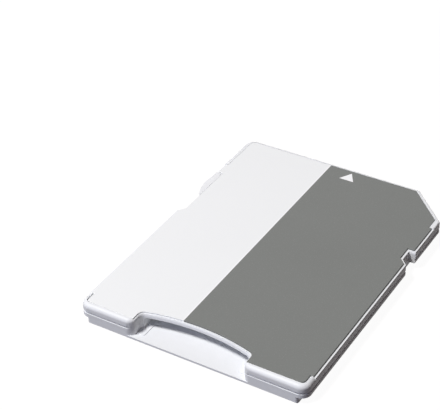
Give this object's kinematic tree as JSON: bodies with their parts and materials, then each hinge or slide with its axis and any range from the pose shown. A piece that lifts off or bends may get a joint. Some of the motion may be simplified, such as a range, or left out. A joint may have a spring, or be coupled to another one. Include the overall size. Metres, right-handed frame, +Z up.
{
  "type": "memory card adapter",
  "caption": "White card adapter with the outline of a full-size memory card, a slot for a small one behind an arched cutaway, spring contacts, a lock slider and a white and grey label.",
  "frame": {"origin": "centre of the underside, under the middle of the card", "axes": "+X towards the side with the cut corner, +Y towards the contact end, +Z up through the label"},
  "size_m": [0.0241, 0.032, 0.0021],
  "materials": {
    "shell": "satin",
    "label": "satin",
    "slider": "satin",
    "carrier": "matte",
    "terminal": "polished",
    "spring": "satin"
  },
  "bodies": {
    "adapter": {"bottom_shell": "shell", "top_shell": "shell", "label": "label", "contact_carrier": "carrier", "terminal_1": "terminal", "terminal_2": "terminal", "terminal_3": "terminal", "terminal_4": "terminal", "terminal_5": "terminal", "terminal_6": "terminal", "terminal_7": "terminal", "terminal_8": "terminal", "detent_spring": "spring"},
    "lock_slider": {"lock_slider": "slider"}
  },
  "joints": [
    {"name": "lock_slide", "type": "slide", "parent": "adapter", "child": "lock_slider", "axis": [0, -1, 0], "range_m": [0, 0.0024]}
  ]
}
